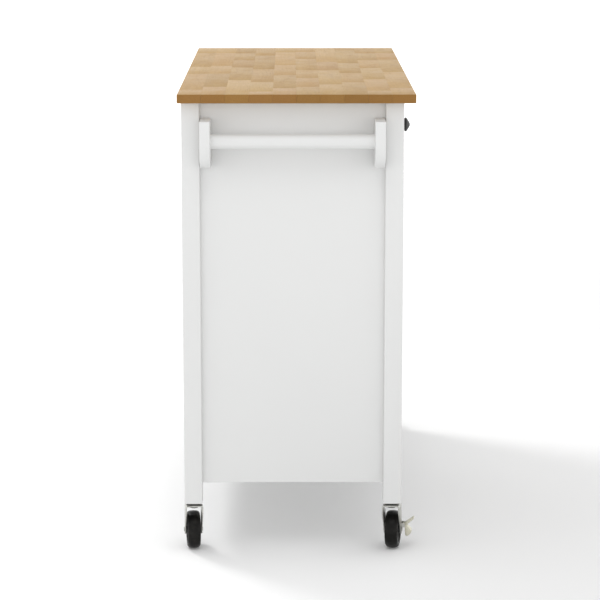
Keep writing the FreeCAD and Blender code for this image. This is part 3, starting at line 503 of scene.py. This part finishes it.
def piece(name, shape, slot, replaces, attributes=None):
    """Makes the object of one piece: doubles merged, faces outward, its finish, its body and the CAD nodes it
    stands for."""
    points, faces = shape
    mesh = bpy.data.meshes.new(name)
    mesh.from_pydata(points.tolist(), [], faces)
    for label, (kind, values) in (attributes or {}).items():
        layer = mesh.attributes.new(label, kind, "FACE")
        layer.data.foreach_set("vector" if kind == "FLOAT_VECTOR" else "value", np.ravel(values))
    work = bmesh.new()
    work.from_mesh(mesh)
    bmesh.ops.remove_doubles(work, verts=work.verts, dist=1e-7)
    bmesh.ops.dissolve_degenerate(work, edges=work.edges, dist=1e-8)
    bmesh.ops.recalc_face_normals(work, faces=work.faces)
    work.to_mesh(mesh)
    work.free()
    mesh.shade_smooth()
    mesh.set_sharp_from_angle(angle=math.radians(SHARP_ANGLE))
    mesh.materials.append(finishes[slot])
    made = bpy.data.objects.new(name, mesh)
    bpy.context.scene.collection.objects.link(made)
    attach(made, body_of[replaces[0]])
    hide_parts(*replaces)


# ---- worktop ------------------------------------------------------------------------------------------
STAVES = 10
BLOCK_LENGTHS = (0.15, 0.36)
SHORTEST_BLOCK = 0.045
TOP_INSET = 0.2 * MM      # blocks stay this far inside the CAD worktop's sides
TOP_EASE = 1.5 * MM
JOINT_EASE = 0.12 * MM


def block_lengths(total):
    """Lengths of the blocks in one stave, ends cut short so that the joints are staggered."""
    cuts = [-chance.uniform(0, BLOCK_LENGTHS[0])]
    while cuts[-1] < total:
        cuts.append(cuts[-1] + chance.uniform(*BLOCK_LENGTHS))
    cuts = [cut for cut in cuts if SHORTEST_BLOCK < cut < total - SHORTEST_BLOCK]
    return [0.0] + cuts + [total]


def block_shape(low, high, outer):
    """One block: its section in the YZ plane is a rectangle with eased corners, wide at the worktop's outer
    edges and hair-fine at the joints, and the section draws in along a quarter circle at an outer end."""
    steps = 3
    quarter = np.linspace(0, math.pi / 2, steps + 1)
    ease = {True: TOP_EASE, False: JOINT_EASE}
    stations, insets = [], []
    for end in (0, 1):
        size = ease[outer[0][end]]
        depth = size * (1 - np.sin(quarter))
        inset = size * (1 - np.cos(quarter))
        ends = low[0] + inset if end == 0 else high[0] - inset
        stations.append(ends if end == 0 else ends[::-1])
        insets.append(depth if end == 0 else depth[::-1])
    stations, insets = np.concatenate(stations), np.concatenate(insets)
    loop = []
    corners = ((1, 1), (0, 1), (0, 0), (1, 0))
    for turn, (side_y, side_z) in enumerate(corners):
        size = ease[outer[1][side_y]]
        sign_y, sign_z = 2 * side_y - 1, 2 * side_z - 1
        middle_y = (high[1] if side_y else low[1]) - sign_y * size
        middle_z = (high[2] if side_z else low[2]) - sign_z * size
        angle = quarter + turn * math.pi / 2
        loop.append(np.stack([middle_y + size * np.cos(angle), middle_z + size * np.sin(angle)], axis=-1))
    loop = np.concatenate(loop)
    centre = np.array([(low[1] + high[1]) / 2, (low[2] + high[2]) / 2])
    half = np.array([(high[1] - low[1]) / 2, (high[2] - low[2]) / 2])
    side_ease = np.where(loop[:, 0] > centre[0], ease[outer[1][1]], ease[outer[1][0]])
    inset_y = np.minimum(insets[:, None], side_ease[None])
    inset_z = np.broadcast_to(insets[:, None], inset_y.shape)
    shrink = 1 - np.stack([inset_y, inset_z], axis=-1) / half
    section = centre + (loop - centre)[None] * shrink
    x = np.broadcast_to(stations[:, None, None], section.shape[:2] + (1,))
    return skin(np.concatenate([x, section], axis=-1))


def end_shares(outer):
    """How much each face of a block shows its end grain: the caps fully, the rounding at an outer end more
    and more, the long sides not at all.  The faces run station by station, with the two caps last."""
    rising = np.array([1.0, 0.9, 0.5])
    first = rising if outer[0] else np.zeros(3)
    last = rising[::-1] if outer[1] else np.zeros(3)
    return np.concatenate([np.repeat(np.concatenate([first, [0.0], last]), 16), [1.0, 1.0]])


def worktop():
    """Edge-glued staves along X, each of several blocks with a tone, a warmth and a heart of its own."""
    low, high = (np.array(corner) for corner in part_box("worktop"))
    low[:2] += TOP_INSET
    high[:2] -= TOP_INSET
    width = (high[1] - low[1]) / STAVES
    shapes, tones, warmths, hearts, ends = [], [], [], [], []
    for stave in range(STAVES):
        cuts = block_lengths(high[0] - low[0])
        y0 = low[1] + stave * width
        for number, (start, stop) in enumerate(zip(cuts[:-1], cuts[1:])):
            block_low = np.array([low[0] + start, y0, low[2]])
            block_high = np.array([low[0] + stop, y0 + width, high[2]])
            outer_x = (number == 0, number == len(cuts) - 2)
            outer_y = (stave == 0, stave == STAVES - 1)
            shape = block_shape(block_low, block_high, (outer_x, outer_y))
            count = len(shape[1])
            shapes.append(shape)
            tones.append(np.full(count, np.clip(chance.normal(0.52, 0.22), 0, 1)))
            warmths.append(np.full(count, chance.uniform(0, 1) ** 2))
            heart = (chance.uniform(-3, 3), (y0 + width / 2) + chance.uniform(-0.05, 0.05),
                     low[2] - chance.uniform(0.01, 0.09))
            hearts.append(np.tile(heart, (count, 1)))
            ends.append(end_shares(outer_x))
    attributes = {
        "block_tone": ("FLOAT", np.concatenate(tones)),
        "block_warmth": ("FLOAT", np.concatenate(warmths)),
        "block_heart": ("FLOAT_VECTOR", np.concatenate(hearts)),
        "end_face": ("FLOAT", np.concatenate(ends)),
    }
    piece("worktop_blocks", join(*shapes), "butcher_block", ["worktop"], attributes=attributes)


# ---- boards -------------------------------------------------------------------------------------------
def solids_of(node_name):
    """Boxes of the separate solids of a CAD node, from a merged copy of its mesh."""
    work = bmesh.new()
    work.from_mesh(nodes[node_name].data)
    bmesh.ops.remove_doubles(work, verts=work.verts, dist=1e-6)
    waiting, boxes = set(work.verts), []
    while waiting:
        found, edge = set(), [waiting.pop()]
        while edge:
            vertex = edge.pop()
            found.add(vertex)
            for link in vertex.link_edges:
                other = link.other_vert(vertex)
                if other in waiting:
                    waiting.discard(other)
                    edge.append(other)
        places = np.array([vertex.co for vertex in found])
        boxes.append((places.min(0), places.max(0)))
    work.free()
    return sorted(boxes, key=lambda box: tuple(box[0]))


PLAIN_BOARDS = {          # node: rounding of its edges in millimetres
    "leg_front_left": 1.6, "leg_front_right": 1.6, "leg_back_left": 1.6, "leg_back_right": 1.6,
    "front_top_rail": 1.0, "front_middle_rail": 1.0, "front_bottom_rail": 1.0,
    "back_top_rail": 1.0, "back_bottom_rail": 1.0, "back_centre_stile": 1.0,
    "side_panel_left": 0.8, "side_panel_right": 0.8,
    "drawer_left_front": 1.4, "drawer_right_front": 1.4, "drawer_left_sides": 1.0, "drawer_right_sides": 1.0,
    "drawer_left_back": 1.0, "drawer_right_back": 1.0, "shelves": 1.2,
    "door_stiles": 1.2, "door_rails": 1.2,
}


def boards():
    """Boards with softly rounded edges in place of the CAD's sharp ones."""
    for node_name, radius in PLAIN_BOARDS.items():
        shapes = [rounded_box(low, high, radius * MM) for low, high in solids_of(node_name)]
        piece(node_name + "_board", join(*shapes), slot_of[node_name], [node_name])


# ---- knobs --------------------------------------------------------------------------------------------
SCREW_HEAD_RADIUS = 4.0 * MM
SCREW_HEAD = ((0.0, 0.0), (1.0, 0.0), (1.0, 0.35), (0.86, 0.75), (0.50, 1.0), (0.0, 1.0))


def knobs():
    """Turned knobs: a waisted neck that flares to a rim, then a shallow cone with a rounded tip.  A turned
    screw head sits behind the board."""
    for node_name, front in (("drawer_left_knob", "drawer_left_front"),
                             ("drawer_right_knob", "drawer_right_front"), ("door_knob", "door_stiles")):
        low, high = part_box(node_name)
        base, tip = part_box(front)[0].y, low.y
        reach, rim = base - tip, (high.x - low.x) / 2
        neck = [(0.0, 0.0), (0.52, 0.0), (0.50, 0.05), (0.43, 0.16), (0.42, 0.30), (0.52, 0.42)]
        flare = [(0.80, 0.50), (0.99, 0.60), (1.03, 0.67), (0.96, 0.73)]
        cone = [(0.60, 0.86), (0.30, 0.96), (0.12, 1.0), (0.0, 1.0)]
        profile = smoothed(neck + flare + cone, 3) * (rim, -reach)
        origin = ((low.x + high.x) / 2, base, (low.z + high.z) / 2)
        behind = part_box(front)[1].y
        head = np.array(SCREW_HEAD) * (SCREW_HEAD_RADIUS, high.y - behind)
        shapes = join(moved(turned(profile), origin), moved(turned(head), (origin[0], behind, origin[2])))
        piece(node_name + "_turned", shapes, "black_knob", [node_name])


# ---- casters ------------------------------------------------------------------------------------------
CORNERS = ("front_left", "front_right", "back_left", "back_right")
WHEEL_RADIUS = 37.5 * MM
WHEEL_HALF = 13.0 * MM
HUB_RADIUS = 24.0 * MM
TRAIL = 22.0 * MM
CHEEK_OUT = 17.5 * MM
SHEET = 2.5 * MM
CROWN_TOP = 95.5 * MM
EYE = 9.5 * MM
AXLE_RADIUS = 3.0 * MM
AXLE_HEAD = 4.5 * MM
AXLE_HEAD_HEIGHT = 1.4 * MM
BRAKE_OUT = 4.5 * MM      # brake pin outside the cheek
BRAKE_LEVEL = 48.0 * MM
SPOKES = 6


def caster_axes(corner):
    """Foot of the swivel axis on the floor, the trailing direction and the axle's direction."""
    swivel = joints["caster_%s_swivel" % corner]["pos_m"]
    axle = np.array(joints["caster_%s_roll" % corner]["axis"], float)
    trailing = np.array([axle[1], -axle[0], 0.0])
    return (swivel[0], swivel[1], 0.0), trailing, axle


def tyre_shape():
    """Ring whose section is a squared ellipse, |y/a|^n + |r/b|^n = 1, with a fine rib round the tread."""
    turn = np.linspace(0, 2 * math.pi, 56, endpoint=False)
    power = 2 / 2.6
    across = WHEEL_HALF * np.sign(np.cos(turn)) * np.abs(np.cos(turn)) ** power
    middle, half = (WHEEL_RADIUS + HUB_RADIUS) / 2, (WHEEL_RADIUS - HUB_RADIUS) / 2
    out = middle + half * np.sign(np.sin(turn)) * np.abs(np.sin(turn)) ** power
    rib = 0.25 * MM * np.exp(-(across / (0.5 * MM)) ** 2) * (np.sin(turn) > 0)
    return turned(np.stack([out - 0.25 * MM + rib, across], axis=-1), 96, closed=True)


def hub_shape():
    """Moulded centre: a rim with a lip, a dished web and a boss, and six ribs on each side."""
    rim, lip, web = HUB_RADIUS, 10.5 * MM, 3.0 * MM
    boss, bore = CHEEK_OUT - SHEET - 0.4 * MM, 3.1 * MM
    outline = [(bore, boss), (7.2 * MM, boss), (8.4 * MM, boss - 1.2 * MM), (9.0 * MM, web + 2.5 * MM),
               (11.0 * MM, web), (18.5 * MM, web), (20.6 * MM, web + 2.0 * MM), (21.0 * MM, lip - 0.8 * MM),
               (21.8 * MM, lip), (rim - 0.6 * MM, lip), (rim, lip - 0.8 * MM)]
    mirror = [(radius, -reach) for radius, reach in reversed(outline)]
    shapes = [turned(outline + mirror, 72, closed=True)]
    for side in (1, -1):
        for turn in np.arange(SPOKES) * 2 * math.pi / SPOKES + 0.3:
            rib = rounded_box((8.0 * MM, min(side * web, side * 7.0 * MM), -1.1 * MM),
                              (21.0 * MM, max(side * web, side * 7.0 * MM), 1.1 * MM), 0.7 * MM, 2)
            spoke = (math.cos(turn), 0, math.sin(turn))
            shapes.append(moved(rib, (0, 0, 0), spoke, (0, 1, 0), (-math.sin(turn), 0, math.cos(turn))))
    return join(*shapes)


def fork_shape():
    """Pressed sheet: a flat section as wide as the outline, carried up one cheek, round a bend, over the
    crown and down the other.  Below the axle the width follows the eye's circle."""
    bend = 3.5 * MM
    eye_levels = WHEEL_RADIUS - EYE * np.cos(np.linspace(0.06, math.pi / 2, 9))
    cheek_levels = np.concatenate([eye_levels, np.linspace(eye_levels[-1], CROWN_TOP - bend, 14)[1:]])
    swing = np.linspace(0, math.pi / 2, 7)[1:]
    bend_y = CHEEK_OUT - bend + bend * np.cos(swing)
    bend_z = CROWN_TOP - bend + bend * np.sin(swing)
    path_y = np.concatenate([np.full(len(cheek_levels), CHEEK_OUT), bend_y])
    path_z = np.concatenate([cheek_levels, bend_z])
    out_y = np.concatenate([np.ones(len(cheek_levels)), np.cos(swing)])
    out_z = np.concatenate([np.zeros(len(cheek_levels)), np.sin(swing)])
    path_y, path_z = np.concatenate([path_y, -path_y[::-1]]), np.concatenate([path_z, path_z[::-1]])
    out_y, out_z = np.concatenate([out_y, -out_y[::-1]]), np.concatenate([out_z, out_z[::-1]])
    circle = np.sqrt(np.maximum(EYE ** 2 - (WHEEL_RADIUS - path_z) ** 2, 0))
    front = np.interp(path_z, [WHEEL_RADIUS, 79 * MM, 86 * MM], [TRAIL - EYE, -16.2 * MM, -17.0 * MM])
    back = np.interp(path_z, [WHEEL_RADIUS, 73 * MM, CROWN_TOP], [TRAIL + EYE, 22 * MM, 17 * MM])
    front = np.where(path_z < WHEEL_RADIUS, TRAIL - circle, front)
    back = np.where(path_z < WHEEL_RADIUS, TRAIL + circle, back)
    edge = 0.7 * MM
    quarter = np.linspace(0, math.pi / 2, 4)
    angle = np.concatenate([quarter + corner * math.pi / 2 for corner in range(4)])
    side = np.repeat([1, 0, 0, 1], 4)
    inner = np.repeat([0, 0, 1, 1], 4)
    x = np.where(side, back[:, None] - edge, front[:, None] + edge) + edge * np.cos(angle)
    depth = np.where(inner, SHEET - edge, edge)[None] - edge * np.sin(angle)[None]
    y = path_y[:, None] - out_y[:, None] * depth
    z = path_z[:, None] - out_z[:, None] * depth
    sheet = skin(np.stack([x, y, z], axis=-1))
    return join(sheet, raceway_shape())


def upright(shape):
    """Turns a shape made about the Y axis so that it stands about the Z axis."""
    return moved(shape, (0, 0, 0), (1, 0, 0), (0, 0, 1), (0, 1, 0))


def raceway_shape():
    """Pressed dome of the ball race on the crown."""
    profile = [(5.6 * MM, CROWN_TOP - 0.5 * MM), (5.6 * MM, 96.7 * MM), (9.0 * MM, 96.8 * MM),
               (13.5 * MM, 96.6 * MM), (15.6 * MM, 95.9 * MM), (16.2 * MM, CROWN_TOP - 0.5 * MM)]
    return upright(turned(profile, 56, closed=True))


def hex_head(radius, low, high):
    """Hexagon with its top corners turned off: the hexagon's radius, or the cone's where that is less."""
    angle = np.linspace(0, 2 * math.pi, 72, endpoint=False)
    flat = radius * math.cos(math.pi / 6)
    hexagon = flat / np.cos((angle + math.pi / 6) % (math.pi / 3) - math.pi / 6)
    share = np.array([0.0, 0.62, 0.74, 0.87, 1.0, 1.0])
    cone = np.array([1.2, 1.02, 0.98, 0.93, 0.86, 0.0]) * radius
    size = np.minimum(hexagon[None], cone[:, None])
    size[0], size[-1] = hexagon, 0.0
    y = np.broadcast_to((low + (high - low) * share)[:, None], size.shape)
    return skin(np.stack([size * np.cos(angle), y, size * np.sin(angle)], axis=-1), caps=True)


def axle_shape():
    """Axle through both cheeks with a hexagon head on one side and a nut on the other."""
    reach = CHEEK_OUT + 0.1 * MM
    rod = turned([(0, -reach), (AXLE_RADIUS, -reach), (AXLE_RADIUS, reach), (0, reach)], 32)
    heads = [hex_head(AXLE_HEAD, side * reach, side * (reach + AXLE_HEAD_HEIGHT)) for side in (1, -1)]
    return join(rod, *heads)


def brake_pin_shape():
    """Lugs and pin that carry the brake toggle, on the fork's outer cheek."""
    middle_y, middle_z = -(CHEEK_OUT + BRAKE_OUT), BRAKE_LEVEL
    shapes = []
    for x0 in (TRAIL - 9.8 * MM, TRAIL + 7.8 * MM):
        shapes.append(rounded_box((x0, middle_y - 3 * MM, middle_z - 4 * MM),
                                  (x0 + 2 * MM, -CHEEK_OUT + 1 * MM, middle_z + 4 * MM), 0.6 * MM))
    pin = turned([(0, -10.6 * MM), (1.4 * MM, -10.6 * MM), (1.6 * MM, -10.3 * MM),
                  (1.6 * MM, 10.3 * MM), (1.4 * MM, 10.6 * MM), (0, 10.6 * MM)], 20)
    shapes.append(moved(pin, (TRAIL, middle_y, middle_z), (0, 0, 1), (1, 0, 0), (0, 1, 0)))
    return join(*shapes)


def stem_shape():
    """Stem, its dark cupped collar under the leg and the riveted head under the crown."""
    head = [(0, 88.4), (6.0, 88.4), (8.4, 89.0), (9.0, 90.4), (8.8, 92.6), (5.0, 92.7)]
    collar = [(5.0, 96.9), (14.6, 96.9), (16.2, 97.2), (16.6, 98.4), (16.3, 99.4), (15.2, 99.9), (5.0, 99.9)]
    end = [(5.0, 130.0), (4.0, 131.5), (0, 131.5)]
    return upright(turned(np.array(head + collar + end) * MM, 56))


def casters():
    """Tyre, hub and fork of each caster on their own bodies, and the four stems as one piece."""
    stems = []
    for corner in CORNERS:
        origin, trailing, axle = caster_axes(corner)
        hung = (origin, trailing, axle)
        hub_place = tuple(np.array(origin) + trailing * TRAIL + np.array([0, 0, WHEEL_RADIUS]))
        name = "caster_%s_" % corner
        tyre = moved(tyre_shape(), hub_place, trailing, axle)
        hub = moved(hub_shape(), hub_place, trailing, axle)
        piece(name + "tyre_ring", tyre, "tyre", [name + "tyre"])
        piece(name + "hub_centre", hub, "hub_plastic", [name + "hub"])
        fork = join(fork_shape(), moved(axle_shape(), (TRAIL, 0, WHEEL_RADIUS)))
        if name + "brake" in nodes:
            fork = join(fork, brake_pin_shape())
        piece(name + "fork_sheet", moved(fork, *hung), "zinc_steel", [name + "fork"])
        stems.append(moved(stem_shape(), origin))
    piece("caster_stem_set", join(*stems), "dark_steel", ["caster_stems"])


# ---- brakes -------------------------------------------------------------------------------------------
UPPER_PADDLE = ((0.2, 2.9), (-9.0, 9.6), (-17.8, 16.4), (-20.8, 16.2), (-20.2, 13.2), (-11.0, 5.0),
                (-2.9, -1.4), (-2.6, 0.6), (-1.4, 2.3))
LOWER_PADDLE = ((-2.6, 1.2), (-6.0, -0.2), (-15.8, -9.8), (-15.6, -14.5), (-12.4, -19.4), (-7.5, -22.6),
                (-3.4, -21.6), (-2.6, -10.0), (-2.6, -1.6))
PADDLE_WIDTH = 15.0 * MM


def brake_shape():
    """Toggle of two pressed paddles in a V and the barrel that turns on the pin, in the caster's local axes
    about its pin.  The paddles are closed outlines with cut corners that stop short of the pin, carried
    across with rounded rims."""
    shapes = []
    for outline, width in ((UPPER_PADDLE, PADDLE_WIDTH), (LOWER_PADDLE, PADDLE_WIDTH - 1.6 * MM)):
        plate = eased_plate(rounded_outline(outline, 2) * MM, width, 0.7 * MM)
        shapes.append(moved(plate, (-width / 2, 0, 0), (0, 1, 0), (1, 0, 0), (0, 0, 1)))
    half = PADDLE_WIDTH / 2
    barrel = [(1.8, -half / MM), (3.0, -half / MM), (3.3, -half / MM + 0.4), (3.3, half / MM - 0.4),
              (3.0, half / MM), (1.8, half / MM)]
    ring = turned(np.array(barrel) * MM, 32, closed=True)
    shapes.append(moved(ring, (0, 0, 0), (0, 1, 0), (1, 0, 0), (0, 0, 1)))
    return join(*shapes)


def brakes():
    """A toggle on each front caster, about its own pin."""
    for corner in ("front_left", "front_right"):
        joint = joints["caster_%s_brake" % corner]
        along = np.array(joint["axis"], float)
        out = np.array([-along[1], along[0], 0.0])
        name = "caster_%s_brake" % corner
        piece(name + "_toggle", moved(brake_shape(), joint["pos_m"], along, out), "brake_steel", [name])


# ---- towel bar ----------------------------------------------------------------------------------------
BEAD = 1.3 * MM           # paint bead's height round the bar
BRACKET_ROUND = 45.0 * MM
BRACKET_EASE = 1.6 * MM


def towel_bar():
    """Painted dowel: a circle carried along Y that swells into a small bead of paint at each bracket."""
    low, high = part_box("towel_bar")
    radius = (high.z - low.z) / 2
    near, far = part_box("towel_bracket_front")[1].y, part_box("towel_bracket_back")[0].y
    bead = [(radius + BEAD, 0.0), (radius + 0.35 * MM, 0.8 * MM), (radius, 2.4 * MM)]
    start = [(0.0, low.y), (radius, low.y), (radius, near - 1 * MM), (radius + BEAD, near - 1 * MM)]
    profile = start + [(size, near + step) for size, step in bead]
    profile += [(size, far - step) for size, step in reversed(bead)]
    profile += [(radius + BEAD, far + 1 * MM), (radius, far + 1 * MM), (radius, high.y), (0.0, high.y)]
    origin = ((low.x + high.x) / 2, 0, (low.z + high.z) / 2)
    piece("towel_bar_dowel", moved(turned(profile, 64), origin), "white_paint", ["towel_bar"])


def towel_brackets():
    """Shaped boards: straight top and nose, a quarter circle under the nose, all rims softly rounded."""
    for node_name in ("towel_bracket_front", "towel_bracket_back"):
        low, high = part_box(node_name)
        swing = np.linspace(0, math.pi / 2, 19)
        curve = np.stack([low.x + BRACKET_ROUND * (1 - np.cos(swing)),
                          low.z + BRACKET_ROUND * (1 - np.sin(swing))], axis=-1)
        nose = np.array([[low.x + 1.0 * MM, high.z], [low.x, high.z - 1.0 * MM]])
        wall = np.array([[high.x, low.z], [high.x, high.z]])
        outline = np.concatenate([nose, curve, wall])
        board = moved(eased_plate(outline, high.y - low.y, BRACKET_EASE, 4), (0, low.y, 0))
        piece(node_name + "_board", board, "white_paint", [node_name])


# ---- floor and light ----------------------------------------------------------------------------------
FLOOR_HALF = 8.0
FLOOR_FADE = (2.4, 6.0)   # distances from the cart where the floor starts to thin out and is gone


def floor():
    """Plain pale sheet that thins out into the white surround a few metres from the cart."""
    steps = np.linspace(-FLOOR_HALF, FLOOR_HALF, 9)
    x, y = np.meshgrid(steps, steps, indexing="ij")
    points, faces = skin(np.stack([x, y, np.zeros_like(x)], axis=-1), wrap=False, caps=False)
    mesh = bpy.data.meshes.new("floor")
    mesh.from_pydata(points.tolist(), [], [face[::-1] for face in faces])
    made, tree, shader = material("floor")
    place = tree.place()
    tone = tree.noise(place, 1.3, 3.0)
    distance = tree.add("VectorMath", 1, {"operation": "LENGTH"}, _0=place)
    feed(tree, shader, Base_Color=tree.mix(tone, (0.945, 0.945, 0.945, 1), (0.965, 0.965, 0.965, 1)),
         Roughness=0.8, Specular_IOR_Level=0.1, Alpha=tree.spread(distance, *FLOOR_FADE, 1.0, 0.0))
    mesh.materials.append(made)
    sheet = bpy.data.objects.new("floor", mesh)
    bpy.context.scene.collection.objects.link(sheet)


KEY_PLACE = (1.95, 2.22, 3.55)
KEY_SIZE = 1.25
KEY_POWER = 62.0
FRONT_PLACE = (-2.20, 0.10, 3.05)
FRONT_SIZE = 1.3
FRONT_POWER = 9.0
SURROUND_TOP = 0.79       # strength overhead
SURROUND_GAIN = 0.95      # added at the level of the floor
SURROUND_FALL = 3.0       # power by which that gain falls off with height


def soft_box(name, place, aim, size, power):
    """Round area light at a place, turned toward a point."""
    data = bpy.data.lights.new(name, "AREA")
    data.shape = "DISK"
    data.size = size
    data.energy = power
    lamp = bpy.data.objects.new(name, data)
    lamp.location = place
    lamp.rotation_euler = (Vector(aim) - Vector(place)).to_track_quat("-Z", "Y").to_euler()
    bpy.context.scene.collection.objects.link(lamp)


def lights():
    """White studio: a pale surround that is brighter near the level of the floor, a key high behind the
    cart's back right corner and a weak soft box in front of the towel bar."""
    world = bpy.data.worlds.new("studio")
    bpy.context.scene.world = world
    world.use_nodes = True
    tree = Tree(world.node_tree)
    direction = tree.add("TexCoord", 0)
    height = tree.add("SeparateXYZ", 2, Vector=direction)
    level = tree.math("SUBTRACT", 1.0, tree.math("ABSOLUTE", height))
    gain = tree.math("MULTIPLY", SURROUND_GAIN, tree.math("POWER", level, SURROUND_FALL))
    strength = tree.math("ADD", SURROUND_TOP, gain)
    shown = tree.add("LightPath", 0)
    surround = world.node_tree.nodes["Background"]
    surround.inputs["Color"].default_value = (1.0, 1.0, 1.0, 1)
    world.node_tree.links.new(tree.math("MAXIMUM", strength, shown), surround.inputs["Strength"])
    soft_box("key", KEY_PLACE, (0.0, 0.0, 0.45), KEY_SIZE, KEY_POWER)
    soft_box("front", FRONT_PLACE, (-0.5, 0.0, 0.6), FRONT_SIZE, FRONT_POWER)


worktop()
boards()
knobs()
towel_bar()
towel_brackets()
casters()
brakes()
floor()
lights()
bpy.context.scene.view_settings.view_transform = "Standard"
